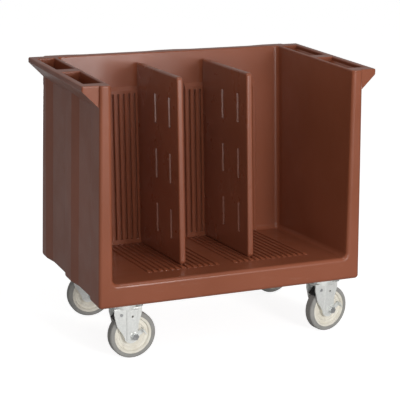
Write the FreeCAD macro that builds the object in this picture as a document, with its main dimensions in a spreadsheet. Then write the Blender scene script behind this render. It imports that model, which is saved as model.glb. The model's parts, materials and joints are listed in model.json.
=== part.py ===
import FreeCAD, Part
import os
import re
import Sketcher

# Plate dispenser cart: a one-piece moulded body, open at the front and the top, whose floor and back
# wall lean back together, two loose dividers that stand between moulded ribs, and four swivel
# casters, the front two with brakes.
# Frame: +Z up, the front faces -Y, the origin is on the ground under the middle of the cart.
# Millimetres and degrees. "Run" is measured along the leaning floor from the front face, "rise"
# square to that floor.

SIZES = {
    # body shell
    "body_width": 880,
    "body_depth": 600,
    "body_height": 676,
    "draft_angle": 0.9,
    "corner_round": 10,
    "bottom_round": 12,
    "rim_round": 4,
    "recess_round": 6,
    # recesses in the outer walls
    "recess_depth": 9,
    "recess_step": 12,
    "recess_slope": 51,
    "front_post": 88,
    "front_recess": 192,
    "side_rib": 60,
    "rear_post": 49,
    "back_post": 90,
    # handle flanges and their cutlery pockets
    "handle_reach": 41,
    "handle_lip": 15,
    "handle_round": 5,
    "handle_end_gap": 22,
    "pocket_end_wall": 43,
    "pocket_web": 50,
    "pocket_rim": 11,
    "pocket_outer_wall": 20,
    "pocket_lip": 12,
    "pocket_foot_width": 13,
    "pocket_depth": 110,
    # compartment
    "side_wall": 46,
    "back_wall": 96,
    "floor_pitch": 4,
    "sill_height": 74,
    "compartment_round": 16,
    "mouth_round": 12,
    # moulded ribs that hold the dividers
    "groove_pitch": 19,
    "rib_width": 12,
    "floor_rib_height": 4,
    "wall_rib_height": 12,
    "rib_edge": 1.8,
    "rib_ramp": 16,
    "rib_toe": 0.6,
    "strip_run": 100,
    "zone_drop": 72,
    "zone_ledge": 10,
    "zone_foot": 18,
    "left_ribs_outboard": 7,
    "left_ribs_inboard": 6,
    "right_ribs_inboard": 4,
    "right_ribs_outboard": 10,
    # dividers
    "divider_x": 117,
    "divider_thickness": 20,
    "divider_height": 590,
    "divider_rear_rise": 14,
    "divider_front_run": 132,
    "divider_corner": 12,
    "divider_edge_round": 6,
    "divider_gap": 1,
    "divider_lift": 0.3,
    "tongue_side_gap": 0.7,
    "tongue_end_gap": 2,
    "tongue_drop_gap": 0.4,
    "tongue_top_gap": 14,
    "bar_margin": 70,
    "bar_spacing": 83,
    "bar_width": 14,
    "bar_depth": 6,
    "bar_slope": 20,
    "bar_front_column": 71,
    "bar_column_pitch": 121,
    # caster places under the body
    "caster_inset": 102,
    "front_caster_inset": 66,
    "rear_caster_inset": 122,
    # caster stack, from the ground up
    "wheel_diameter": 150,
    "crown_gap": 14,
    "crown_thickness": 4,
    "lower_race_height": 2.5,
    "ball_diameter": 8,
    "ball_gap": 0.1,
    "upper_race_height": 2.5,
    "plate_thickness": 5,
    "ball_circle_radius": 24,
    "ball_count": 16,
    "cage_half_width": 1.5,
    "cage_half_height": 0.75,
    "race_band": 6,
    "cup_wall": 3,
    "cup_gap": 2,
    "trail": 24,
    # top plate and its bolts
    "plate_length": 105,
    "plate_width": 86,
    "plate_corner": 10,
    "bolt_spacing_x": 82,
    "bolt_spacing_y": 62,
    "plate_bolt_diameter": 10,
    "bolt_hole_gap": 0.3,
    "bolt_hole_depth": 26,
    "bolt_reach": 20,
    "bolt_head_height": 6.5,
    # kingpin
    "kingpin_diameter": 12,
    "kingpin_head_diameter": 24,
    "running_gap": 0.06,
    "kingpin_washer_gap": 0.3,
    "kingpin_nut_height": 8,
    "kingpin_end": 1.5,
    # fork legs
    "leg_gap": 1.2,
    "leg_thickness": 4,
    "leg_front_reach": 49,
    "leg_rear_reach": 41,
    "crown_radius": 33,
    "leg_shoulder": 20,
    "leg_rear_waist": 32,
    "leg_waist_height": 37,
    "leg_foot_radius": 23,
    "leg_foot_lag": 9,
    "panel_height": 2,
    "panel_rear": 26,
    "panel_front": 12,
    "panel_foot": 12,
    "panel_drop": 2,
    "panel_slope": 45,
    "crown_bend": 3,
    "sight_hole_diameter": 7,
    "sight_hole_drop": 25,
    "sight_hole_lag": 6,
    # wheel
    "tyre_width": 32,
    "tyre_thickness": 14,
    "tyre_shoulder": 7,
    "hub_length": 38,
    "hub_radius": 19,
    "rim_half_width": 14,
    "rim_band": 7,
    "web_half_width": 8,
    "web_ring_radius": 38,
    "web_ring_band": 5,
    "web_ring_height": 1.6,
    "web_slope": 6,
    "bearing_wall": 5,
    "spacer_wall": 3,
    # axle
    "axle_diameter": 12,
    "hex_head_height": 7.5,
    "hex_nut_height": 10,
    "hex_ratio": 1.6,
    "axle_end": 3,
    # brakes on the front casters
    "lever_gap": 0.5,
    "lever_thickness": 3,
    "lever_hub_radius": 12,
    "lever_arm_width": 14,
    "lever_arm_reach": 33,
    "lever_arm_angle": 32,
    "lever_tab_depth": 16,
    "lever_tab_width": 20,
    "shoe_pin_radius": 84,
    "shoe_pin_angle": 120,
    "shoe_pin_diameter": 6,
    "shoe_pin_head": 2,
    "shoe_gap": 1.7,
    "shoe_end_angle": 138,
    "shoe_knuckle_wall": 4,
    "shoe_half_width": 12,
}

# Each caster: side across the cart, end along it, inset from that end, and the way its wheel points
# at rest.
CASTERS = [
    {"place": "front_left", "side": -1, "end": -1, "inset": "front_caster_inset", "yaw": 2, "brake": True},
    {"place": "front_right", "side": 1, "end": -1, "inset": "front_caster_inset", "yaw": 12, "brake": True},
    {"place": "rear_left", "side": -1, "end": 1, "inset": "rear_caster_inset", "yaw": -3, "brake": False},
    {"place": "rear_right", "side": 1, "end": 1, "inset": "rear_caster_inset", "yaw": 8, "brake": False},
]

doc = FreeCAD.newDocument("plate_dispenser_cart")
sheet = doc.addObject("Spreadsheet::Sheet", "sizes")
for row, (alias, value) in enumerate(SIZES.items(), start=1):
    sheet.set("A%d" % row, alias)
    sheet.set("B%d" % row, str(value))
    sheet.setAlias("B%d" % row, alias)
doc.recompute()

# Heights and places that follow from the sizes, written with the sheet's own words.
HALF_WIDTH = "(body_width / 2)"
HALF_DEPTH = "(body_depth / 2)"
AXLE_HEIGHT = "(wheel_diameter / 2)"
CROWN_BOTTOM = "(wheel_diameter + crown_gap)"
CROWN_TOP = "(%s + crown_thickness)" % CROWN_BOTTOM
BALL_CENTRE = "(%s + lower_race_height + ball_gap / 2 + ball_diameter / 2)" % CROWN_TOP
PLATE_BOTTOM = "(%s + lower_race_height + ball_gap + ball_diameter + upper_race_height)" % CROWN_TOP
UNDERSIDE = "(%s + plate_thickness)" % PLATE_BOTTOM
TOP = "(%s + body_height)" % UNDERSIDE
SILL = "(%s + sill_height)" % UNDERSIDE
DRAFT_IN = "(body_height * tan(draft_angle))"
INNER_HALF = "(%s - side_wall)" % HALF_WIDTH
FLOOR_RUN = "(body_depth - back_wall)"
ZONE_RISE = "(body_height - sill_height - zone_drop)"
HANDLE_HALF = "(%s + handle_reach)" % HALF_WIDTH
GROOVE_WIDTH = "(groove_pitch - rib_width)"
ZONE_FACE_RUN = "(%s - wall_rib_height)" % FLOOR_RUN
WALL_TONGUE_TOP = "(%s - wall_rib_height - zone_ledge - tongue_top_gap)" % ZONE_RISE
FORK_INNER = "(hub_length / 2 + leg_gap)"
FORK_OUTER = "(%s + leg_thickness)" % FORK_INNER
PANEL_FACE = "(%s + panel_height)" % FORK_OUTER
FOOT_MIDDLE = "(trail - leg_foot_lag)"
SPACER_RADIUS = "(axle_diameter / 2 + running_gap + spacer_wall)"
BEARING_RADIUS = "(%s + running_gap + bearing_wall)" % SPACER_RADIUS
CORE_RADIUS = "(wheel_diameter / 2 - tyre_thickness)"
SHOE_PIN = ("(shoe_pin_radius * cos(shoe_pin_angle))", "(shoe_pin_radius * sin(shoe_pin_angle))")

WORD = re.compile(r"[a-z]+(?:_[a-z]+)*")


def bound(expression):
    """The expression with each of the sheet's words written as a cell of the sheet."""
    return WORD.sub(lambda found: "sizes." + found.group() if found.group() in SIZES else found.group(),
                    str(expression))


def number(expression):
    """The value of an expression now."""
    result = sheet.evalExpression(bound(expression))
    return float(getattr(result, "Value", result))


def along_floor(run, rise):
    """(Y, Z) expressions of a point of the leaning compartment."""
    return ("(-%s + (%s) * cos(floor_pitch) + (%s) * sin(floor_pitch))" % (HALF_DEPTH, run, rise),
            "(%s - (%s) * sin(floor_pitch) + (%s) * cos(floor_pitch))" % (SILL, run, rise))


def new_body(label):
    """A body of its own for one piece."""
    body = doc.addObject("PartDesign::Body", label)
    body.Label = label
    return body


def origin_part(body, role):
    """The body's own origin plane or axis with that role."""
    return next(item for item in body.Origin.OriginFeatures if item.Role == role)


def sketch_on(body, plane, name, offset="0", turn=None):
    """An empty sketch on an origin plane, moved along the plane's normal, or laid by turn."""
    sketch = body.newObject("Sketcher::SketchObject", name)
    sketch.AttachmentSupport = [(origin_part(body, plane), "")]
    sketch.MapMode = "FlatFace"
    if turn is None:
        sketch.setExpression("AttachmentOffset.Base.z", bound(offset))
    else:
        turn(sketch)
    return sketch


def pin_point(sketch, curve, end, x, y):
    """Hold one end of a curve at (x, y), given as expressions."""
    for kind, text in (("DistanceX", x), ("DistanceY", y)):
        index = sketch.addConstraint(Sketcher.Constraint(kind, -1, 1, curve, end, number(text)))
        sketch.setExpression("Constraints[%d]" % index, bound(text))


def outline(sketch, points):
    """A closed outline of straight lines through points given as expressions."""
    first = sketch.GeometryCount
    places = [FreeCAD.Vector(number(x), number(y), 0) for x, y in points]
    count = len(points)
    for index in range(count):
        sketch.addGeometry(Part.LineSegment(places[index], places[(index + 1) % count]))
    for index in range(count):
        following = first + (index + 1) % count
        sketch.addConstraint(Sketcher.Constraint("Coincident", first + index, 2, following, 1))
    for index, (x, y) in enumerate(points):
        pin_point(sketch, first + index, 1, x, y)


def rectangle(sketch, left, right, low, high):
    """A rectangle between four expressions."""
    outline(sketch, [(left, low), (right, low), (right, high), (left, high)])


def circle(sketch, x, y, radius):
    """A circle whose centre and radius are expressions."""
    centre = FreeCAD.Vector(number(x), number(y), 0)
    curve = sketch.addGeometry(Part.Circle(centre, FreeCAD.Vector(0, 0, 1), number(radius)))
    pin_point(sketch, curve, 3, x, y)
    index = sketch.addConstraint(Sketcher.Constraint("Radius", curve, number(radius)))
    sketch.setExpression("Constraints[%d]" % index, bound(radius))


def pad(body, sketch, length, both_sides=False, back=False):
    """Extrude a sketch into material."""
    feature = body.newObject("PartDesign::Pad", sketch.Name + "_pad")
    return extruded(feature, sketch, length, both_sides, back)


def pocket(body, sketch, length, both_sides=False, back=False):
    """Extrude a sketch out of the material, and see that it took some away."""
    before = body.Shape.Volume
    feature = body.newObject("PartDesign::Pocket", sketch.Name + "_cut")
    extruded(feature, sketch, length, both_sides, back)
    if body.Shape.Volume >= before:
        raise RuntimeError(sketch.Name + " cuts nothing")
    return feature


def extruded(feature, sketch, length, both_sides, back):
    feature.Profile = sketch
    feature.setExpression("Length", bound(length))
    feature.Midplane = both_sides
    feature.Reversed = back
    doc.recompute()
    return feature


def revolved(body, sketch):
    """Turn a sketch of the XZ plane about the body's Z axis."""
    feature = body.newObject("PartDesign::Revolution", sketch.Name + "_turn")
    feature.Profile = sketch
    feature.ReferenceAxis = (origin_part(body, "Z_Axis"), [""])
    feature.Angle = 360
    doc.recompute()
    return feature


def groove(body, sketch):
    """Turn a sketch of the XZ plane about the body's Z axis out of the material."""
    before = body.Shape.Volume
    feature = body.newObject("PartDesign::Groove", sketch.Name + "_turn")
    feature.Profile = sketch
    feature.ReferenceAxis = (origin_part(body, "Z_Axis"), [""])
    feature.Angle = 360
    doc.recompute()
    if body.Shape.Volume >= before:
        raise RuntimeError(sketch.Name + " cuts nothing")
    return feature


def rounded(body, radius, chosen):
    """Round the edges of the body's present shape for which chosen(edge) is true."""
    base = body.Tip
    names = ["Edge%d" % (index + 1) for index, edge in enumerate(base.Shape.Edges) if chosen(edge)]
    if not names:
        raise RuntimeError("no edge to round on " + body.Label)
    feature = body.newObject("PartDesign::Fillet", "round")
    feature.Base = (base, names)
    feature.setExpression("Radius", bound(radius))
    doc.recompute()
    return feature


def repeated(body, feature, axis, count, length):
    """Repeat a feature along an axis, count copies over that length in all."""
    pattern = body.newObject("PartDesign::LinearPattern", feature.Name + "_row")
    pattern.Originals = [feature]
    pattern.Direction = (origin_part(body, axis), [""])
    pattern.setExpression("Length", bound(length))
    pattern.setExpression("Occurrences", bound(count))
    body.Tip = pattern
    doc.recompute()
    return pattern


def mirrored(body, features, plane):
    """Repeat features on the other side of an origin plane."""
    mirror = body.newObject("PartDesign::Mirrored", features[0].Name + "_mirror")
    mirror.Originals = features
    mirror.MirrorPlane = (origin_part(body, plane), [""])
    body.Tip = mirror
    doc.recompute()
    return mirror


def in_plane(edge, axis, level, slack=0.01):
    """Whether a whole edge lies at that level of an axis."""
    box = edge.BoundBox
    low, high = (getattr(box, axis.upper() + side) for side in ("Min", "Max"))
    return abs(low - level) < slack and abs(high - level) < slack


# ---------------------------------------------------------------- cart body

def side_wall_points(side):
    """Plan of one side wall from front to back, with its two recesses."""
    face = "%d * %s" % (side, HALF_WIDTH)
    floor = "%d * (%s - recess_depth)" % (side, HALF_WIDTH)
    recesses = [("front_post", "front_post + front_recess"),
                ("front_post + front_recess + side_rib", "body_depth - rear_post")]
    points = []
    for start, end in recesses:
        points += [(face, "-%s + %s" % (HALF_DEPTH, start)),
                   (floor, "-%s + %s + recess_step" % (HALF_DEPTH, start)),
                   (floor, "-%s + %s - recess_slope" % (HALF_DEPTH, end)),
                   (face, "-%s + %s" % (HALF_DEPTH, end))]
    return points


def back_wall_points():
    """Plan of the back wall from right to left, with its two recesses."""
    face = HALF_DEPTH
    floor = "%s - recess_depth" % HALF_DEPTH
    half = [("side_rib / 2", face), ("side_rib / 2 + recess_slope", floor),
            ("%s - back_post - recess_slope" % HALF_WIDTH, floor), ("%s - back_post" % HALF_WIDTH, face)]
    right = list(reversed(half))
    left = [("-(%s)" % x, y) for x, y in half]
    return right + left


def on_leaning_plane(run, rise, up_the_wall):
    """Lay a sketch on the leaning floor, or square to it, with its origin at (run, rise)."""
    def turn(sketch):
        y, z = along_floor(run, rise)
        sketch.AttachmentOffset = FreeCAD.Placement(FreeCAD.Vector(), FreeCAD.Rotation(
            FreeCAD.Vector(1, 0, 0), -number("floor_pitch")))
        if up_the_wall:
            sketch.setExpression("AttachmentOffset.Base.y", bound(z))
            sketch.setExpression("AttachmentOffset.Base.z", bound("-" + y))
        else:
            sketch.setExpression("AttachmentOffset.Base.y", bound(y))
            sketch.setExpression("AttachmentOffset.Base.z", bound(z))
        sketch.setExpression("AttachmentOffset.Rotation.Angle", bound("-floor_pitch"))
    return turn


def rib_zone(body, side, outboard, inboard):
    """The floor ribs and wall ribs round one divider's home place."""
    word = "left" if side < 0 else "right"
    lowest, total = (outboard, "(%s + %s)" % (outboard, inboard))
    if side > 0:
        lowest = inboard
    first = "(%d * divider_x - (%s - 0.5) * groove_pitch)" % (side, lowest)
    low, high = "%s - rib_width / 2" % first, "%s + rib_width / 2" % first
    span = "(%s - 1) * groove_pitch" % total
    zone_low, zone_high = low, "%s + %s" % (high, span)
    root = "floor_rib_height"

    def edged(level_root, level_face, chamfer):
        """A rib's section from its root to its face, both face edges taken off."""
        near = "%s - (%s)" % (level_face, chamfer)
        return [(low, level_root), (high, level_root), (high, near),
                ("%s - rib_edge" % high, level_face), ("%s + rib_edge" % low, level_face), (low, near)]

    floor_rib = sketch_on(body, "XZ_Plane", word + "_floor_rib",
                          turn=on_leaning_plane("strip_run", "-" + root, True))
    outline(floor_rib, edged("0", "floor_rib_height + " + root, "rib_edge"))
    rib = pad(body, floor_rib, "%s - strip_run" % FLOOR_RUN, back=True)
    repeated(body, rib, "X_Axis", total, span)

    ramp = sketch_on(body, "YZ_Plane", word + "_rib_ramp", offset="%s - rib_edge" % zone_low)
    over = "rib_toe + 2 * (floor_rib_height - rib_toe)"
    outline(ramp, [along_floor("strip_run", "rib_toe"), along_floor("strip_run + 2 * rib_ramp", over),
                   along_floor("strip_run - rib_ramp", over)])
    pocket(body, ramp, "%s - (%s) + 2 * rib_edge" % (zone_high, zone_low), back=True)

    wall_rib = sketch_on(body, "XY_Plane", word + "_wall_rib",
                         turn=on_leaning_plane(ZONE_FACE_RUN, "0", False))
    outline(wall_rib, edged("wall_rib_height + " + root, "0", "-rib_edge"))
    rib = pad(body, wall_rib, "%s - wall_rib_height" % ZONE_RISE)
    repeated(body, rib, "X_Axis", total, span)

    bars = sketch_on(body, "YZ_Plane", word + "_ledges", offset=zone_low)
    run_back = "%s + %s" % (FLOOR_RUN, root)
    wall_top = "%s - wall_rib_height" % ZONE_RISE
    outline(bars, [along_floor(ZONE_FACE_RUN, "0"), along_floor(run_back, "0"),
                   along_floor(run_back, "zone_foot"), along_floor(ZONE_FACE_RUN, "zone_foot")])
    outline(bars, [along_floor(ZONE_FACE_RUN, wall_top + " - zone_ledge"),
                   along_floor(run_back, wall_top + " - zone_ledge"),
                   along_floor(run_back, "%s + %s" % (ZONE_RISE, root)),
                   along_floor(ZONE_FACE_RUN, wall_top)])
    pad(body, bars, "%s - (%s)" % (zone_high, zone_low))


def handle_pockets(body):
    """Two cutlery pockets in each handle flange, narrowing downwards."""
    length = "(%s - handle_end_gap - pocket_end_wall - pocket_web / 2)" % HALF_DEPTH
    sketch = sketch_on(body, "XZ_Plane", "cutlery_pocket", offset="-(pocket_web / 2 + %s)" % length)
    for side in (-1, 1):
        inner = "(%s + pocket_rim)" % INNER_HALF
        outer = "(%s - pocket_outer_wall)" % HANDLE_HALF
        foot = "(%s + pocket_foot_width)" % inner
        drop = "(%s - %s)" % (outer, foot)
        corners = [(inner, TOP), (outer, TOP), (outer, "%s - pocket_lip" % TOP),
                   (foot, "%s - pocket_lip - %s" % (TOP, drop)), (foot, "%s - pocket_depth" % TOP),
                   (inner, "%s - pocket_depth" % TOP)]
        outline(sketch, [("%d * %s" % (side, x), z) for x, z in corners])
    cut = pocket(body, sketch, length, back=True)
    mirrored(body, [cut], "XZ_Plane")


def caster_places(case):
    """(X, Y) expressions of a caster's swivel axis."""
    return ("%d * (%s - caster_inset)" % (case["side"], HALF_WIDTH),
            "%d * (%s - %s)" % (case["end"], HALF_DEPTH, case["inset"]))


def bolt_places(case):
    """(X, Y) expressions of a caster's four bolts under the body."""
    x, y = caster_places(case)
    return [("%s + %d * bolt_spacing_x / 2" % (x, i), "%s + %d * bolt_spacing_y / 2" % (y, j))
            for i in (-1, 1) for j in (-1, 1)]


def recess_rounds(body):
    """Soften the upright edges of the recesses in the outer walls, clear of the corners."""
    half_width, half_depth = number(HALF_WIDTH), number(HALF_DEPTH)
    lean = number(DRAFT_IN)
    reach = number("recess_depth") + lean
    corner = number("corner_round + recess_depth") + lean

    def at_recess(edge):
        middle = edge.CenterOfMass
        side, end = half_width - abs(middle.x), half_depth - abs(middle.y)
        upright = edge.BoundBox.ZLength > number("body_height") / 2
        return upright and min(side, end) < reach and max(side, end) > corner
    rounded(body, "recess_round", at_recess)


def compartment_rounds(body):
    """Round the compartment's inner corners, then the front edge of its mouth."""
    inner, sill, top = number(INNER_HALF), number(SILL), number(TOP)
    front, underside = -number(HALF_DEPTH), number(UNDERSIDE)
    inward, lean, upright = number("tan(draft_angle)"), number("sin(floor_pitch)"), number("cos(floor_pitch)")

    def in_compartment(point):
        run = (point.y - front) * upright - (point.z - sill) * lean
        rise = (point.y - front) * lean + (point.z - sill) * upright
        return abs(point.x) < inner + 0.01 and run < number(FLOOR_RUN) + 0.01 and rise > -0.01

    def at_mouth(point):
        return abs(point.y - front - (point.z - underside) * inward) < 0.05

    def within(edge, test):
        return all(test(vertex.Point) for vertex in edge.Vertexes)

    rounded(body, "compartment_round", lambda edge: within(edge, in_compartment)
            and not within(edge, at_mouth) and not in_plane(edge, "z", top))
    rounded(body, "mouth_round", lambda edge: within(edge, at_mouth) and edge.BoundBox.ZMin > sill - 1
            and all(abs(vertex.Point.x) < inner + 0.01 for vertex in edge.Vertexes))


def make_cart_body():
    body = new_body("cart_body")
    plan = sketch_on(body, "XY_Plane", "plan", offset=UNDERSIDE)
    right = side_wall_points(1)
    left = list(reversed(side_wall_points(-1)))
    outline(plan, [("-" + HALF_WIDTH, "-" + HALF_DEPTH), (HALF_WIDTH, "-" + HALF_DEPTH)] + right
            + [(HALF_WIDTH, HALF_DEPTH)] + back_wall_points() + [("-" + HALF_WIDTH, HALF_DEPTH)] + left)
    shell = pad(body, plan, "body_height")
    shell.setExpression("TaperAngle", bound("-draft_angle"))
    doc.recompute()

    half_width, half_depth, underside = number(HALF_WIDTH), number(HALF_DEPTH), number(UNDERSIDE)
    top = number(TOP)
    slack = number(DRAFT_IN) + 1

    def at_outer_corner(edge):
        middle = edge.CenterOfMass
        return (half_width - abs(middle.x) < slack and half_depth - abs(middle.y) < slack
                and edge.BoundBox.ZLength > number("body_height") / 2)
    rounded(body, "corner_round", at_outer_corner)
    recess_rounds(body)
    rounded(body, "bottom_round", lambda edge: in_plane(edge, "z", underside))

    handles = sketch_on(body, "XZ_Plane", "handles")
    for side in (-1, 1):
        root = "(%s + pocket_rim / 2)" % INNER_HALF
        drop = "(%s - %s)" % (HANDLE_HALF, root)
        corners = [(root, TOP), (HANDLE_HALF, TOP), (HANDLE_HALF, "%s - handle_lip" % TOP),
                   (root, "%s - handle_lip - %s" % (TOP, drop))]
        outline(handles, [("%d * %s" % (side, x), z) for x, z in corners])
    pad(body, handles, "body_depth - 2 * handle_end_gap", both_sides=True)
    tip, lip, end = number(HANDLE_HALF), top - number("handle_lip"), half_depth - number("handle_end_gap")

    def at_handle_tip(edge):
        middle = edge.CenterOfMass
        upright = edge.BoundBox.ZLength > number("handle_lip") / 2 and abs(abs(middle.y) - end) < 0.01
        level = in_plane(edge, "z", lip)
        return abs(abs(middle.x) - tip) < 0.01 and (upright or level)
    rounded(body, "handle_round", at_handle_tip)

    inside = sketch_on(body, "YZ_Plane", "compartment")
    outline(inside, [along_floor("-body_depth", "0"), along_floor(FLOOR_RUN, "0"),
                     along_floor(FLOOR_RUN, "2 * body_height"), along_floor("-body_depth", "2 * body_height")])
    pocket(body, inside, "2 * " + INNER_HALF, both_sides=True)

    compartment_rounds(body)

    rib_zone(body, -1, "left_ribs_outboard", "left_ribs_inboard")
    rib_zone(body, 1, "right_ribs_outboard", "right_ribs_inboard")
    handle_pockets(body)
    rounded(body, "rim_round", lambda edge: in_plane(edge, "z", top))

    holes = sketch_on(body, "XY_Plane", "insert_holes", offset=UNDERSIDE)
    for case in CASTERS:
        for x, y in bolt_places(case):
            circle(holes, x, y, "plate_bolt_diameter / 2 + bolt_hole_gap")
    pocket(body, holes, "bolt_hole_depth", back=True)
    return body


# ---------------------------------------------------------------- dividers

def make_divider(label, side):
    """A board that stands on the floor ribs, its tongues down and back in the grooves."""
    body = new_body(label)
    length = "(%s - divider_gap - divider_front_run)" % ZONE_FACE_RUN
    board = sketch_on(body, "YZ_Plane", label + "_board")
    outline(board, [("0", "0"), (length, "0"), (length, "divider_height + divider_rear_rise"),
                    ("0", "divider_height")])
    pad(body, board, "divider_thickness", both_sides=True)
    rounded(body, "divider_corner", lambda edge: edge.BoundBox.XLength > number("divider_thickness") / 2)
    face = number("divider_thickness") / 2
    rounded(body, "divider_edge_round", lambda edge: in_plane(edge, "x", face) or in_plane(edge, "x", -face))

    floor_rise = "(floor_rib_height + divider_lift)"
    tongue = sketch_on(body, "YZ_Plane", label + "_tongue")
    inset = "(divider_corner + divider_edge_round)"
    rear = "(%s + divider_gap + wall_rib_height - tongue_end_gap)" % length
    outline(tongue, [("divider_corner", "tongue_drop_gap - " + floor_rise),
                     ("%s - divider_corner" % length, "tongue_drop_gap - " + floor_rise),
                     ("%s - divider_corner" % length, "zone_foot"), (rear, "zone_foot"),
                     (rear, WALL_TONGUE_TOP), ("%s - %s" % (length, inset), WALL_TONGUE_TOP),
                     ("%s - %s" % (length, inset), inset), ("divider_corner", inset)])
    pad(body, tongue, "%s - 2 * tongue_side_gap" % GROOVE_WIDTH, both_sides=True)

    bar = "((divider_height - 2 * bar_margin - 2 * bar_spacing) / 3)"
    for word, way in (("near", 1), ("far", -1)):
        bars = sketch_on(body, "YZ_Plane", label + "_bars_" + word, offset="%d * divider_thickness / 2" % way)
        for column in (0, 1):
            middle = "(bar_front_column + %d * bar_column_pitch)" % column
            for row in range(3):
                foot = "(bar_margin + %d * (%s + bar_spacing))" % (row, bar)
                rectangle(bars, "%s - bar_width / 2" % middle, "%s + bar_width / 2" % middle,
                          foot, "%s + %s" % (foot, bar))
        recess = pocket(body, bars, "bar_depth", back=way < 0)
        recess.setExpression("TaperAngle", bound("-bar_slope"))
    doc.recompute()
    y, z = along_floor("divider_front_run", floor_rise)
    body.Placement = FreeCAD.Placement(FreeCAD.Vector(), FreeCAD.Rotation(FreeCAD.Vector(1, 0, 0),
                                                                         -number("floor_pitch")))
    body.setExpression("Placement.Base.x", bound("%d * divider_x" % side))
    body.setExpression("Placement.Base.y", bound(y))
    body.setExpression("Placement.Base.z", bound(z))
    body.setExpression("Placement.Rotation.Angle", bound("-floor_pitch"))
    doc.recompute()
    return body


# ---------------------------------------------------------------- casters

def ring(sketch, inner, outer, low, high):
    """A rectangle of radii and levels, to be turned about an axis."""
    rectangle(sketch, inner, outer, low, high)


def hexagon(sketch, across_flats):
    """A hexagon about the sketch's origin."""
    corner = "(%s) / 2 / cos(30)" % across_flats
    outline(sketch, [("%s * cos(%d)" % (corner, turn), "%s * sin(%d)" % (corner, turn))
                     for turn in range(0, 360, 60)])


def swivelled(body, case, at_axle):
    """Put a caster's piece in place, turned with its wheel about the swivel axis."""
    x, y = caster_places(case)
    lead, level = ("trail", AXLE_HEIGHT) if at_axle else ("0", "0")
    body.Placement = FreeCAD.Placement(FreeCAD.Vector(), FreeCAD.Rotation(FreeCAD.Vector(0, 0, 1), case["yaw"]))
    body.setExpression("Placement.Base.x", bound("%s + %s * cos(%d)" % (x, lead, case["yaw"])))
    body.setExpression("Placement.Base.y", bound("%s + %s * sin(%d)" % (y, lead, case["yaw"])))
    body.setExpression("Placement.Base.z", bound(level))


def fixed_in_place(body, case):
    """Put a caster's piece in place, square to the cart."""
    x, y = caster_places(case)
    body.setExpression("Placement.Base.x", bound(x))
    body.setExpression("Placement.Base.y", bound(y))


def make_top_plate(label, case):
    body = new_body(label)
    outer = sketch_on(body, "XY_Plane", label + "_outline", offset=PLATE_BOTTOM)
    rectangle(outer, "-plate_length / 2", "plate_length / 2", "-plate_width / 2", "plate_width / 2")
    pad(body, outer, "plate_thickness")
    rounded(body, "plate_corner", lambda edge: edge.BoundBox.ZLength > number("plate_thickness") / 2)
    cup = sketch_on(body, "XZ_Plane", label + "_races")
    ring(cup, "ball_circle_radius - race_band", "ball_circle_radius + race_band",
         "%s - upper_race_height" % PLATE_BOTTOM, "%s + plate_thickness / 2" % PLATE_BOTTOM)
    revolved(body, cup)
    skirt = sketch_on(body, "XZ_Plane", label + "_skirt")
    ring(skirt, "crown_radius + cup_gap", "crown_radius + cup_gap + cup_wall", "%s + cup_gap" % CROWN_TOP,
         "%s + plate_thickness / 2" % PLATE_BOTTOM)
    revolved(body, skirt)
    bores = sketch_on(body, "XY_Plane", label + "_bores", offset=PLATE_BOTTOM)
    circle(bores, "0", "0", "kingpin_diameter / 2 + running_gap")
    for i in (-1, 1):
        for j in (-1, 1):
            circle(bores, "%d * bolt_spacing_x / 2" % i, "%d * bolt_spacing_y / 2" % j,
                   "plate_bolt_diameter / 2 + bolt_hole_gap")
    pocket(body, bores, "2 * plate_thickness", back=True)
    seat = sketch_on(body, "XZ_Plane", label + "_countersink")
    outline(seat, [("0", "%s + plate_thickness" % PLATE_BOTTOM),
                   ("kingpin_head_diameter / 2 + running_gap", "%s + plate_thickness" % PLATE_BOTTOM),
                   ("kingpin_diameter / 2 + running_gap", PLATE_BOTTOM), ("0", PLATE_BOTTOM)])
    groove(body, seat)
    fixed_in_place(body, case)
    return body


def make_plate_bolts(label, case):
    """The four bolts of one caster, heads under the plate."""
    body = new_body(label)
    body.AllowCompound = True
    head = sketch_on(body, "XY_Plane", label + "_heads", offset="%s - bolt_head_height" % PLATE_BOTTOM)
    shank = sketch_on(body, "XY_Plane", label + "_shanks", offset="%s - bolt_head_height / 2" % PLATE_BOTTOM)
    corner = "(hex_ratio * plate_bolt_diameter / 2 / cos(30))"
    for i in (-1, 1):
        for j in (-1, 1):
            x, y = "%d * bolt_spacing_x / 2" % i, "%d * bolt_spacing_y / 2" % j
            outline(head, [("%s + %s * cos(%d)" % (x, corner, turn), "%s + %s * sin(%d)" % (y, corner, turn))
                           for turn in range(0, 360, 60)])
            circle(shank, x, y, "plate_bolt_diameter / 2")
    pad(body, head, "bolt_head_height")
    pad(body, shank, "bolt_head_height / 2 + plate_thickness + bolt_reach")
    fixed_in_place(body, case)
    return body


def make_balls(label, case):
    """The swivel's ring of balls in its thin cage."""
    body = new_body(label)
    cage = sketch_on(body, "XZ_Plane", label + "_cage")
    ring(cage, "ball_circle_radius - cage_half_width", "ball_circle_radius + cage_half_width",
         "%s - cage_half_height" % BALL_CENTRE, "%s + cage_half_height" % BALL_CENTRE)
    revolved(body, cage)
    ball = body.newObject("PartDesign::AdditiveSphere", label + "_ball")
    ball.AttachmentSupport = [(origin_part(body, "XY_Plane"), "")]
    ball.MapMode = "FlatFace"
    ball.setExpression("Radius", bound("ball_diameter / 2"))
    ball.setExpression("AttachmentOffset.Base.x", bound("ball_circle_radius"))
    ball.setExpression("AttachmentOffset.Base.z", bound(BALL_CENTRE))
    doc.recompute()
    row = body.newObject("PartDesign::PolarPattern", label + "_row")
    row.Originals = [ball]
    row.Axis = (origin_part(body, "Z_Axis"), [""])
    row.Angle = 360
    row.setExpression("Occurrences", bound("ball_count"))
    body.Tip = row
    doc.recompute()
    swivelled(body, case, False)
    return body


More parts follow.
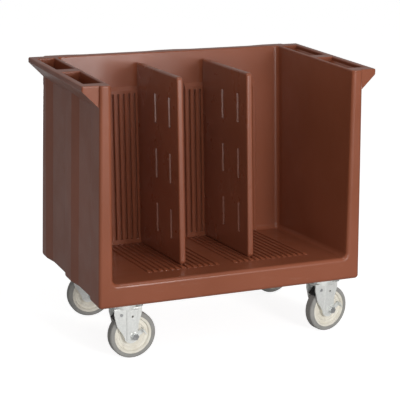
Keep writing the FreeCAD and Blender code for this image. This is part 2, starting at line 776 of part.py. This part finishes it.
def make_fork(label, case):
    """The pressed fork: crown with the lower race, and two legs down to the axle."""
    body = new_body(label)
    disc = sketch_on(body, "XY_Plane", label + "_disc", offset=CROWN_BOTTOM)
    circle(disc, "0", "0", "crown_radius")
    pad(body, disc, "crown_thickness")
    bridge = sketch_on(body, "XY_Plane", label + "_bridge", offset=CROWN_BOTTOM)
    rectangle(bridge, "-leg_rear_reach", "leg_front_reach", "-" + FORK_OUTER, FORK_OUTER)
    pad(body, bridge, "crown_thickness")
    race = sketch_on(body, "XZ_Plane", label + "_race")
    ring(race, "ball_circle_radius - race_band", "ball_circle_radius + race_band",
         "%s - crown_thickness / 2" % CROWN_TOP, "%s + lower_race_height" % CROWN_TOP)
    revolved(body, race)

    leg = sketch_on(body, "XZ_Plane", label + "_leg", offset=FORK_INNER)
    shoulder, waist = "%s - leg_shoulder" % CROWN_TOP, "%s + leg_waist_height" % AXLE_HEIGHT
    rear, front = "%s - leg_foot_radius" % FOOT_MIDDLE, "%s + leg_foot_radius" % FOOT_MIDDLE
    outline(leg, [("-leg_rear_reach", CROWN_TOP), ("-leg_rear_reach", shoulder), ("-leg_rear_waist", waist),
                  (rear, AXLE_HEIGHT), (front, AXLE_HEIGHT), (front, waist),
                  ("leg_front_reach", shoulder), ("leg_front_reach", CROWN_TOP)])
    leg_pad = pad(body, leg, "leg_thickness")
    foot = sketch_on(body, "XZ_Plane", label + "_foot", offset=FORK_INNER)
    circle(foot, FOOT_MIDDLE, AXLE_HEIGHT, "leg_foot_radius")
    foot_pad = pad(body, foot, "leg_thickness")
    panel = sketch_on(body, "XZ_Plane", label + "_panel", offset=FORK_OUTER)
    rectangle(panel, "trail - panel_rear", "trail + panel_front", "%s - panel_foot" % AXLE_HEIGHT,
              "%s - panel_drop" % CROWN_BOTTOM)
    panel_pad = pad(body, panel, "panel_height")
    panel_pad.setExpression("TaperAngle", bound("-panel_slope"))
    doc.recompute()
    mirrored(body, [leg_pad, foot_pad, panel_pad], "XZ_Plane")
    level, half = number(CROWN_TOP), number(FORK_OUTER)
    rounded(body, "crown_bend", lambda edge: in_plane(edge, "z", level)
            and (in_plane(edge, "y", half) or in_plane(edge, "y", -half)))

    bore = sketch_on(body, "XY_Plane", label + "_kingpin_bore", offset=CROWN_BOTTOM)
    circle(bore, "0", "0", "kingpin_diameter / 2 + running_gap")
    pocket(body, bore, "2 * crown_thickness", back=True)
    holes = sketch_on(body, "XZ_Plane", label + "_leg_holes")
    circle(holes, "trail", AXLE_HEIGHT, "axle_diameter / 2 + running_gap")
    circle(holes, "trail - sight_hole_lag", "%s - sight_hole_drop" % CROWN_BOTTOM, "sight_hole_diameter / 2")
    if case["brake"]:
        x, z = SHOE_PIN
        circle(holes, "trail + " + x, "%s + %s" % (AXLE_HEIGHT, z), "shoe_pin_diameter / 2 + running_gap")
    pocket(body, holes, "4 * " + FORK_OUTER, both_sides=True)
    swivelled(body, case, False)
    return body


def make_kingpin(label, case):
    """Countersunk pin through the plate and the crown."""
    body = new_body(label)
    profile = sketch_on(body, "XZ_Plane", label + "_profile")
    top = "(%s + plate_thickness)" % PLATE_BOTTOM
    end = "(%s - kingpin_washer_gap - kingpin_nut_height - kingpin_end)" % CROWN_BOTTOM
    outline(profile, [("0", end), ("kingpin_diameter / 2", end), ("kingpin_diameter / 2", PLATE_BOTTOM),
                      ("kingpin_head_diameter / 2", top), ("0", top)])
    revolved(body, profile)
    fixed_in_place(body, case)
    return body


def make_kingpin_nut(label, case):
    body = new_body(label)
    low = "%s - kingpin_washer_gap - kingpin_nut_height" % CROWN_BOTTOM
    nut = sketch_on(body, "XY_Plane", label + "_hexagon", offset=low)
    hexagon(nut, "hex_ratio * kingpin_diameter")
    circle(nut, "0", "0", "kingpin_diameter / 2 + running_gap")
    pad(body, nut, "kingpin_nut_height")
    fixed_in_place(body, case)
    return body


def outer_stack(case):
    """How far out from the middle the axle bolt's head sits."""
    return "(%s + 2 * lever_gap + lever_thickness)" % PANEL_FACE if case["brake"] else PANEL_FACE


def make_axle_bolt(label, case):
    body = new_body(label)
    shaft = sketch_on(body, "XZ_Plane", label + "_shaft",
                      offset="-(%s + hex_nut_height + axle_end)" % PANEL_FACE)
    circle(shaft, "0", "0", "axle_diameter / 2")
    pad(body, shaft, "%s + hex_nut_height + axle_end + %s + hex_head_height / 2"
        % (PANEL_FACE, outer_stack(case)))
    head = sketch_on(body, "XZ_Plane", label + "_head", offset=outer_stack(case))
    hexagon(head, "hex_ratio * axle_diameter")
    pad(body, head, "hex_head_height")
    swivelled(body, case, True)
    return body


def make_axle_nut(label, case):
    body = new_body(label)
    nut = sketch_on(body, "XZ_Plane", label + "_hexagon", offset="-" + PANEL_FACE)
    hexagon(nut, "hex_ratio * axle_diameter")
    circle(nut, "0", "0", "axle_diameter / 2 + running_gap")
    pad(body, nut, "hex_nut_height", back=True)
    swivelled(body, case, True)
    return body


def turned_about_axle(body, sketch):
    """Turn a sketch of the XY plane about the axle, the body's Y axis."""
    feature = body.newObject("PartDesign::Revolution", sketch.Name + "_turn")
    feature.Profile = sketch
    feature.ReferenceAxis = (origin_part(body, "Y_Axis"), [""])
    feature.Angle = 360
    doc.recompute()
    return feature


def make_spacer_tube(label, case):
    body = new_body(label)
    profile = sketch_on(body, "XY_Plane", label + "_profile")
    ring(profile, "axle_diameter / 2 + running_gap", SPACER_RADIUS, "-" + FORK_INNER, FORK_INNER)
    turned_about_axle(body, profile)
    swivelled(body, case, True)
    return body


def make_hub_bearing(label, case):
    body = new_body(label)
    profile = sketch_on(body, "XY_Plane", label + "_profile")
    ring(profile, "%s + running_gap" % SPACER_RADIUS, BEARING_RADIUS, "-hub_length / 2", "hub_length / 2")
    turned_about_axle(body, profile)
    swivelled(body, case, True)
    return body


def make_wheel_core(label, case):
    """Moulded wheel centre: hub, web with a raised ring, and rim."""
    body = new_body(label)
    profile = sketch_on(body, "XY_Plane", label + "_profile")
    inner_rim = "%s - rim_band" % CORE_RADIUS
    half = [(BEARING_RADIUS, "hub_length / 2"), ("hub_radius", "hub_length / 2"),
            ("hub_radius + web_slope", "web_half_width"), ("web_ring_radius", "web_half_width"),
            ("web_ring_radius + web_ring_height", "web_half_width + web_ring_height"),
            ("web_ring_radius + web_ring_band", "web_half_width + web_ring_height"),
            ("web_ring_radius + web_ring_band + web_ring_height", "web_half_width"),
            ("%s - web_slope / 2" % inner_rim, "web_half_width"), (inner_rim, "rim_half_width"),
            (CORE_RADIUS, "rim_half_width")]
    outline(profile, half + [(x, "-(%s)" % y) for x, y in reversed(half)])
    turned_about_axle(body, profile)
    swivelled(body, case, True)
    return body


def make_tyre(label, case):
    body = new_body(label)
    profile = sketch_on(body, "XY_Plane", label + "_profile")
    ring(profile, CORE_RADIUS, "wheel_diameter / 2", "-tyre_width / 2", "tyre_width / 2")
    turned_about_axle(body, profile)
    radius = number("wheel_diameter") / 2
    rounded(body, "tyre_shoulder", lambda edge: abs(edge.BoundBox.XMax - radius) < 0.1
            and edge.BoundBox.YLength < 0.1)
    swivelled(body, case, True)
    return body


def slanted_bar(sketch, angle, start, end, width):
    """A bar drawn outwards from the sketch's origin at an angle, between two distances."""
    def place(reach, aside):
        return ("(%s) * cos(%s) - (%s) * sin(%s)" % (reach, angle, aside, angle),
                "(%s) * sin(%s) + (%s) * cos(%s)" % (reach, angle, aside, angle))
    half = "(%s) / 2" % width
    outline(sketch, [place(start, "-" + half), place(end, "-" + half), place(end, half), place(start, half)])


def make_brake_lever(label, case):
    """Foot lever on the axle, outside the leg, its tab bent outwards."""
    body = new_body(label)
    start = "%s + lever_gap" % PANEL_FACE
    hub = sketch_on(body, "XZ_Plane", label + "_hub", offset=start)
    circle(hub, "0", "0", "lever_hub_radius")
    pad(body, hub, "lever_thickness")
    arm = sketch_on(body, "XZ_Plane", label + "_arm", offset=start)
    slanted_bar(arm, "lever_arm_angle", "0", "lever_arm_reach", "lever_arm_width")
    pad(body, arm, "lever_thickness")
    tab = sketch_on(body, "XZ_Plane", label + "_tab", offset=start)
    slanted_bar(tab, "lever_arm_angle", "lever_arm_reach - lever_thickness", "lever_arm_reach",
                "lever_tab_width")
    pad(body, tab, "lever_thickness + lever_tab_depth")
    bore = sketch_on(body, "XZ_Plane", label + "_bore")
    circle(bore, "0", "0", "axle_diameter / 2 + running_gap")
    pocket(body, bore, "4 * " + FORK_OUTER, both_sides=True)
    swivelled(body, case, True)
    return body


def make_brake_shoe(label, case):
    """Shoe over the tread, hung from a pin between the legs."""
    body = new_body(label)
    knuckle = sketch_on(body, "XZ_Plane", label + "_knuckle")
    x, z = SHOE_PIN
    circle(knuckle, x, z, "shoe_pin_diameter / 2 + shoe_knuckle_wall")
    pad(body, knuckle, "2 * shoe_half_width", both_sides=True)
    shoe = sketch_on(body, "XZ_Plane", label + "_shoe")
    near, far = "(wheel_diameter / 2 + shoe_gap)", "(shoe_pin_radius + shoe_pin_diameter / 2)"
    angles = ["(shoe_pin_angle + (shoe_end_angle - shoe_pin_angle) * %d / 3)" % step for step in range(4)]
    inner = [("%s * cos(%s)" % (near, angle), "%s * sin(%s)" % (near, angle)) for angle in angles]
    outer = [("%s * cos(%s)" % (far, angle), "%s * sin(%s)" % (far, angle)) for angle in angles]
    outline(shoe, inner + list(reversed(outer)))
    pad(body, shoe, "2 * shoe_half_width", both_sides=True)
    bore = sketch_on(body, "XZ_Plane", label + "_bore")
    circle(bore, x, z, "shoe_pin_diameter / 2 + running_gap")
    pocket(body, bore, "4 * " + FORK_OUTER, both_sides=True)
    swivelled(body, case, True)
    return body


def make_shoe_pin(label, case):
    body = new_body(label)
    x, z = SHOE_PIN
    shaft = sketch_on(body, "XZ_Plane", label + "_shaft")
    circle(shaft, x, z, "shoe_pin_diameter / 2")
    pad(body, shaft, "2 * %s + shoe_pin_head" % FORK_OUTER, both_sides=True)
    head = sketch_on(body, "XZ_Plane", label + "_head", offset=FORK_OUTER)
    circle(head, x, z, "shoe_pin_diameter / 2 + shoe_pin_head")
    cap = pad(body, head, "shoe_pin_head")
    mirrored(body, [cap], "XZ_Plane")
    swivelled(body, case, True)
    return body


CASTER_PIECES = [("top_plate", make_top_plate), ("plate_bolts", make_plate_bolts), ("kingpin", make_kingpin),
                 ("kingpin_nut", make_kingpin_nut), ("swivel_balls", make_balls), ("fork", make_fork),
                 ("axle_bolt", make_axle_bolt), ("axle_nut", make_axle_nut), ("spacer_tube", make_spacer_tube),
                 ("hub_bearing", make_hub_bearing), ("wheel_core", make_wheel_core), ("tyre", make_tyre)]
BRAKE_PIECES = [("brake_lever", make_brake_lever), ("brake_shoe", make_brake_shoe),
                ("brake_shoe_pin", make_shoe_pin)]


pieces = [make_cart_body(), make_divider("divider_left", -1), make_divider("divider_right", 1)]
for case in CASTERS:
    for word, make in CASTER_PIECES + (BRAKE_PIECES if case["brake"] else []):
        pieces.append(make("%s_%s" % (case["place"], word), case))
doc.recompute()

for item in doc.Objects:
    if "Invalid" in item.State or "Error" in item.State:
        raise RuntimeError("%s did not compute: %s" % (item.Label, item.State))
for piece in pieces:
    if piece.Shape.isNull() or not piece.Shape.isValid():
        raise RuntimeError(piece.Label + " has no valid shape")

os.makedirs("parts", exist_ok=True)
for piece in pieces:
    piece.Shape.exportStep("parts/%s.step" % piece.Label)
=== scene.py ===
import json
import math

import bpy
from mathutils import Matrix, Vector

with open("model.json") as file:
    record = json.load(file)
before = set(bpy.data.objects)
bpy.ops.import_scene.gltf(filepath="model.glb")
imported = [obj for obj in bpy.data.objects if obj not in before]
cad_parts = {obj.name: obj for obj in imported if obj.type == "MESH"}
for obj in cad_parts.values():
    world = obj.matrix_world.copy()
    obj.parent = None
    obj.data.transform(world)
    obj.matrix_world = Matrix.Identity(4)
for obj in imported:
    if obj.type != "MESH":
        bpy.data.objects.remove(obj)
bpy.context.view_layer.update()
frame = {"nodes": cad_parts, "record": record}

MM = 0.001
WHITE = (1.0, 1.0, 1.0, 1.0)


# ---------------------------------------------------------------- node helpers

# The Mix node repeats its sockets for each kind of data; these are the ones for colours.
MIX_FIRST, MIX_SECOND, MIX_RESULT = 6, 7, 2


class Shader:
    """A node material with a Principled surface, written a line at a time.

    Textures lie in the object's own metres, so a scale is a count of features to the metre.
    """

    def __init__(self, name, metallic=0.0, specular=0.5, coat=0.0, coat_roughness=0.3):
        self.material = bpy.data.materials.new(name)
        self.material.use_nodes = True
        self.tree = self.material.node_tree
        self.tree.nodes.clear()
        self.surface = self.add("ShaderNodeBsdfPrincipled")
        for socket, value in (("Metallic", metallic), ("Specular IOR Level", specular),
                              ("Coat Weight", coat), ("Coat Roughness", coat_roughness)):
            self.surface.inputs[socket].default_value = value
        out = self.add("ShaderNodeOutputMaterial")
        self.join(self.surface.outputs[0], out.inputs["Surface"])
        self.place = self.add("ShaderNodeTexCoord").outputs["Object"]
        self.normal = None

    def add(self, kind, **values):
        node = self.tree.nodes.new(kind)
        for key, value in values.items():
            setattr(node, key, value)
        return node

    def join(self, source, target):
        self.tree.links.new(source, target)

    def stretched(self, x, y, z):
        """The place, scaled on each axis, for textures that run one way."""
        node = self.add("ShaderNodeMapping")
        node.inputs["Scale"].default_value = (x, y, z)
        self.join(self.place, node.inputs["Vector"])
        return node.outputs[0]

    def noise(self, scale, detail=4.0, roughness=0.5, where=None):
        node = self.add("ShaderNodeTexNoise")
        node.inputs["Scale"].default_value = scale
        node.inputs["Detail"].default_value = detail
        node.inputs["Roughness"].default_value = roughness
        self.join(where or self.place, node.inputs["Vector"])
        return node.outputs["Fac"]

    def cells(self, scale):
        node = self.add("ShaderNodeTexVoronoi")
        node.inputs["Scale"].default_value = scale
        self.join(self.place, node.inputs["Vector"])
        return node.outputs["Distance"]

    def height(self):
        node = self.add("ShaderNodeSeparateXYZ")
        self.join(self.place, node.inputs[0])
        return node.outputs["Z"]

    def span(self, source, low, high, to_low=0.0, to_high=1.0):
        """Carry a value from low..high to to_low..to_high with a soft start and end."""
        node = self.add("ShaderNodeMapRange", interpolation_type="SMOOTHSTEP")
        for key, value in (("From Min", low), ("From Max", high), ("To Min", to_low), ("To Max", to_high)):
            node.inputs[key].default_value = value
        self.join(source, node.inputs["Value"])
        return node.outputs["Result"]

    def combine(self, operation, first, second):
        """Work out a value from two, each a number or another node's output."""
        node = self.add("ShaderNodeMath", operation=operation)
        for socket, value in zip(node.inputs, (first, second)):
            if isinstance(value, (int, float)):
                socket.default_value = value
            else:
                self.join(value, socket)
        return node.outputs[0]

    def blend(self, amount, first, second):
        """Mix two colours, each a triple or another node's output."""
        node = self.add("ShaderNodeMix", data_type="RGBA")
        self.join(amount, node.inputs[0])
        for index, value in ((MIX_FIRST, first), (MIX_SECOND, second)):
            if isinstance(value, tuple):
                node.inputs[index].default_value = (*value, 1.0)
            else:
                self.join(value, node.inputs[index])
        return node.outputs[MIX_RESULT]

    def colour(self, output):
        self.join(output, self.surface.inputs["Base Color"])

    def rough(self, output):
        self.join(output, self.surface.inputs["Roughness"])

    def bump(self, height, depth):
        """Add a layer of relief, depth metres deep, over the ones before it."""
        node = self.add("ShaderNodeBump")
        node.inputs["Distance"].default_value = depth
        self.join(height, node.inputs["Height"])
        if self.normal:
            self.join(self.normal, node.inputs["Normal"])
        self.normal = node.outputs[0]
        self.join(self.normal, self.surface.inputs["Normal"])


# ---------------------------------------------------------------- materials

# Heights over the ground, in metres: scuffs fade out above the shell's foot, and set in towards its rim.
FOOT_FADE = (0.19, 0.27)
RIM_FADE = (0.80, 0.865)


def moulded(name, deep, light, worn, rough):
    """Satin moulded plastic: clouded colour, fine grain, soft waves, scuffs at its foot and grips."""
    shader = Shader(name, specular=0.24, coat=0.32, coat_roughness=0.2)
    clouds = shader.noise(scale=2.6, detail=3.0)
    grain = shader.noise(scale=520.0, detail=2.0)
    colour = shader.blend(shader.span(clouds, 0.32, 0.68), deep, light)
    colour = shader.blend(shader.span(grain, 0.35, 0.65, to_high=0.14), colour, light)

    foot = shader.span(shader.height(), *FOOT_FADE, to_low=1.0, to_high=0.12)
    grip = shader.span(shader.height(), *RIM_FADE, to_high=0.8)
    streaks = shader.noise(scale=26.0, detail=6.0, roughness=0.7, where=shader.stretched(0.35, 0.35, 2.6))
    scuffs = shader.combine("MULTIPLY", shader.span(streaks, 0.60, 0.72),
                            shader.combine("MAXIMUM", foot, grip))
    shader.colour(shader.blend(shader.combine("MULTIPLY", scuffs, 0.30), colour, worn))

    satin = shader.span(shader.noise(scale=9.0), 0.3, 0.7, rough - 0.05, rough + 0.06)
    shader.rough(shader.combine("ADD", satin, shader.combine("MULTIPLY", scuffs, 0.15)))
    shader.bump(shader.noise(scale=5.0, detail=2.0), 1.6 * MM)
    shader.bump(shader.noise(scale=95.0, detail=2.0), 0.16 * MM)
    shader.bump(shader.cells(scale=900.0), 0.08 * MM)
    return shader.material


def plated(name, base, dark, rough, spangle, metallic=1.0):
    """Plated steel: faint crystal patches, drawn streaks and a little tarnish."""
    shader = Shader(name, metallic=metallic)
    patches = shader.span(shader.cells(scale=spangle), 0.0, 0.8, to_high=0.35)
    tarnish = shader.span(shader.noise(scale=38.0, detail=5.0, roughness=0.65), 0.52, 0.74)
    colour = shader.blend(patches, base, dark)
    shader.colour(shader.blend(shader.combine("MULTIPLY", tarnish, 0.45), colour, dark))

    sheen = shader.span(shader.noise(scale=120.0), 0.3, 0.7, rough - 0.06, rough + 0.08)
    shader.rough(shader.combine("ADD", sheen, shader.combine("MULTIPLY", tarnish, 0.15)))
    shader.bump(shader.noise(scale=60.0, detail=3.0), 0.2 * MM)
    shader.bump(shader.noise(scale=700.0, detail=2.0, where=shader.stretched(1.0, 1.0, 0.15)), 0.04 * MM)
    return shader.material


def wheel_centre(name, deep, light, grimy):
    """Moulded nylon with flow marks and grime."""
    shader = Shader(name)
    clouds = shader.noise(scale=30.0, detail=3.0)
    grime = shader.noise(scale=85.0, detail=6.0, roughness=0.7)
    colour = shader.blend(shader.span(clouds, 0.3, 0.7), deep, light)
    shader.colour(shader.blend(shader.span(grime, 0.56, 0.74, to_high=0.45), colour, grimy))

    shader.rough(shader.span(shader.noise(scale=60.0), 0.3, 0.7, 0.34, 0.50))
    shader.bump(shader.noise(scale=160.0, detail=2.0), 0.12 * MM)
    shader.bump(shader.noise(scale=1200.0), 0.03 * MM)
    return shader.material


def tread(name, deep, light, rough):
    """Rubber: chalky bloom, dust, fine pores and small nicks."""
    shader = Shader(name, specular=0.35)
    bloom = shader.noise(scale=44.0, detail=5.0, roughness=0.62)
    dust = shader.noise(scale=300.0, detail=3.0)
    colour = shader.blend(shader.span(bloom, 0.3, 0.7), deep, light)
    shader.colour(shader.blend(shader.span(dust, 0.5, 0.72, to_high=0.35), colour, light))

    shader.rough(shader.span(bloom, 0.3, 0.7, rough - 0.08, rough + 0.08))
    shader.bump(shader.noise(scale=240.0, detail=3.0), 0.18 * MM)
    shader.bump(shader.cells(scale=1400.0), 0.05 * MM)
    return shader.material


MATERIALS = {
    "moulded_shell": moulded("shell_plastic", deep=(0.245, 0.070, 0.032), light=(0.285, 0.084, 0.041),
                             worn=(0.46, 0.27, 0.20), rough=0.36),
    "moulded_divider": moulded("board_plastic", deep=(0.235, 0.072, 0.037), light=(0.270, 0.085, 0.044),
                               worn=(0.42, 0.24, 0.18), rough=0.30),
    "zinc_plate": plated("zinc", base=(0.92, 0.93, 0.90), dark=(0.70, 0.72, 0.69),
                         rough=0.42, spangle=160.0, metallic=0.5),
    "bolt_steel": plated("bright_steel", base=(0.62, 0.63, 0.63), dark=(0.40, 0.41, 0.41),
                         rough=0.30, spangle=260.0),
    "ball_steel": plated("ball_steel", base=(0.75, 0.75, 0.75), dark=(0.60, 0.60, 0.60),
                         rough=0.16, spangle=400.0),
    "bearing_steel": plated("bearing_steel", base=(0.50, 0.50, 0.49), dark=(0.30, 0.30, 0.29),
                            rough=0.36, spangle=300.0),
    "core_plastic": wheel_centre("cream_nylon", deep=(0.80, 0.755, 0.65), light=(0.88, 0.845, 0.75),
                                 grimy=(0.33, 0.28, 0.21)),
    "grey_tread": tread("grey_rubber", deep=(0.300, 0.294, 0.276), light=(0.360, 0.352, 0.332),
                        rough=0.62),
    "black_rubber": tread("black_rubber", deep=(0.018, 0.018, 0.018), light=(0.035, 0.034, 0.033),
                          rough=0.60),
}

slots = {part["node"]: part["material_slot"] for part in frame["record"]["subparts"]}
for node, piece in frame["nodes"].items():
    piece.data.materials.clear()
    piece.data.materials.append(MATERIALS[slots[node]])


# ---------------------------------------------------------------- white surroundings

# Gloss sees only this share of the white background, or the plastic's far side would turn grey.
GLOSS_SHARE = 0.06

# The floor scatters as a grey, and glows just enough where it is seen to be white but for a faint shadow.
FLOOR_SIDE = 60.0
FLOOR_DROP = 0.5 * MM
FLOOR_GREY = 0.50
FLOOR_GLOW = 0.86

# How strongly the surroundings light what doesn't see them as white.
AMBIENT = 0.27


def seen_white(tree):
    """How much of the white background a ray sees.

    The camera's rays and those through glass see all of it, the glossy ones a share.
    """
    path = tree.nodes.new("ShaderNodeLightPath")
    total = path.outputs["Is Camera Ray"]
    for ray, share in (("Is Glossy Ray", GLOSS_SHARE), ("Is Transmission Ray", 1.0)):
        part = tree.nodes.new("ShaderNodeMath")
        part.operation = "MULTIPLY"
        part.inputs[1].default_value = share
        tree.links.new(path.outputs[ray], part.inputs[0])
        either = tree.nodes.new("ShaderNodeMath")
        either.operation = "MAXIMUM"
        tree.links.new(total, either.inputs[0])
        tree.links.new(part.outputs[0], either.inputs[1])
        total = either.outputs[0]
    return total


def mixed(tree, out, unseen, seen):
    """Give an output one surface for the rays that see white and another for the rest."""
    both = tree.nodes.new("ShaderNodeMixShader")
    tree.links.new(seen_white(tree), both.inputs[0])
    tree.links.new(unseen.outputs[0], both.inputs[1])
    tree.links.new(seen.outputs[0], both.inputs[2])
    tree.links.new(both.outputs[0], out.inputs["Surface"])


def studio_floor():
    bpy.ops.mesh.primitive_plane_add(size=FLOOR_SIDE, location=(0.0, 0.0, -FLOOR_DROP))
    floor = bpy.context.object
    floor.name = "studio_floor"
    material = bpy.data.materials.new("floor_white")
    material.use_nodes = True
    tree = material.node_tree
    tree.nodes.clear()
    matt = tree.nodes.new("ShaderNodeBsdfDiffuse")
    matt.inputs["Color"].default_value = (FLOOR_GREY, FLOOR_GREY, FLOOR_GREY, 1.0)
    glow = tree.nodes.new("ShaderNodeEmission")
    glow.inputs["Color"].default_value = WHITE
    glow.inputs["Strength"].default_value = FLOOR_GLOW
    lit = tree.nodes.new("ShaderNodeAddShader")
    tree.links.new(matt.outputs[0], lit.inputs[0])
    tree.links.new(glow.outputs[0], lit.inputs[1])
    mixed(tree, tree.nodes.new("ShaderNodeOutputMaterial"), unseen=matt, seen=lit)
    floor.data.materials.append(material)


def studio_world():
    world = bpy.data.worlds.new("studio")
    bpy.context.scene.world = world
    world.use_nodes = True
    tree = world.node_tree
    tree.nodes.clear()
    ambient, white = (tree.nodes.new("ShaderNodeBackground") for _ in range(2))
    for node, strength in ((ambient, AMBIENT), (white, 1.0)):
        node.inputs["Color"].default_value = WHITE
        node.inputs["Strength"].default_value = strength
    mixed(tree, tree.nodes.new("ShaderNodeOutputWorld"), unseen=ambient, seen=white)


studio_floor()
studio_world()


# ---------------------------------------------------------------- lamps

BODY_MIDDLE = (0.0, 0.0, 0.5)
LOW_MIDDLE = (0.0, 0.0, 0.45)


def softbox(name, place, target, size, watts):
    light = bpy.data.lights.new(name, "AREA")
    light.shape = "RECTANGLE"
    light.size, light.size_y = size
    light.energy = watts
    lamp = bpy.data.objects.new(name, light)
    bpy.context.scene.collection.objects.link(lamp)
    lamp.location = place
    lamp.rotation_euler = (Vector(target) - Vector(place)).to_track_quat("-Z", "Y").to_euler()


# The back and side lamps stand below the rim's height, so that the rim doesn't glare.
softbox("key", (0.85, -4.1, 1.2), BODY_MIDDLE, size=(1.0, 0.9), watts=77.0)
softbox("fill", (-1.7, -4.4, 1.1), BODY_MIDDLE, size=(0.9, 1.0), watts=43.0)
softbox("back", (0.6, 4.4, 0.38), LOW_MIDDLE, size=(2.0, 0.7), watts=32.0)
softbox("side", (4.4, 1.8, 0.38), LOW_MIDDLE, size=(2.0, 0.7), watts=12.0)
softbox("top", (0.2, -0.9, 3.3), BODY_MIDDLE, size=(1.2, 0.9), watts=19.0)


# ---------------------------------------------------------------- camera

# The pinhole camera fitted to the photograph: its place in metres and its angles in radians.
# The focal length is in pixels of a picture this wide.
EYE = (-1.7055, -4.0533, 1.5917)
YAW, PITCH, ROLL = 0.400, 0.262, 0.013
FOCAL_PX = 1401.17
IMAGE_PX = 400.0
SENSOR_MM = 36.0
FAR_END = 100.0


def photo_camera():
    forward = Vector((math.sin(YAW) * math.cos(PITCH), math.cos(YAW) * math.cos(PITCH), -math.sin(PITCH)))
    right = Vector((math.cos(YAW), -math.sin(YAW), 0.0))
    up = right.cross(forward)
    across = right * math.cos(ROLL) + up * math.sin(ROLL)
    upward = up * math.cos(ROLL) - right * math.sin(ROLL)
    lens = bpy.data.cameras.new("camera")
    lens.sensor_width = SENSOR_MM
    lens.sensor_fit = "HORIZONTAL"
    lens.lens = FOCAL_PX / IMAGE_PX * SENSOR_MM
    lens.clip_end = FAR_END
    camera = bpy.data.objects.new("camera", lens)
    bpy.context.scene.collection.objects.link(camera)
    turn = Matrix((across, upward, -forward)).transposed()
    camera.matrix_world = Matrix.Translation(EYE) @ turn.to_4x4()
    bpy.context.scene.camera = camera


photo_camera()
bpy.context.scene.view_settings.view_transform = "Standard"
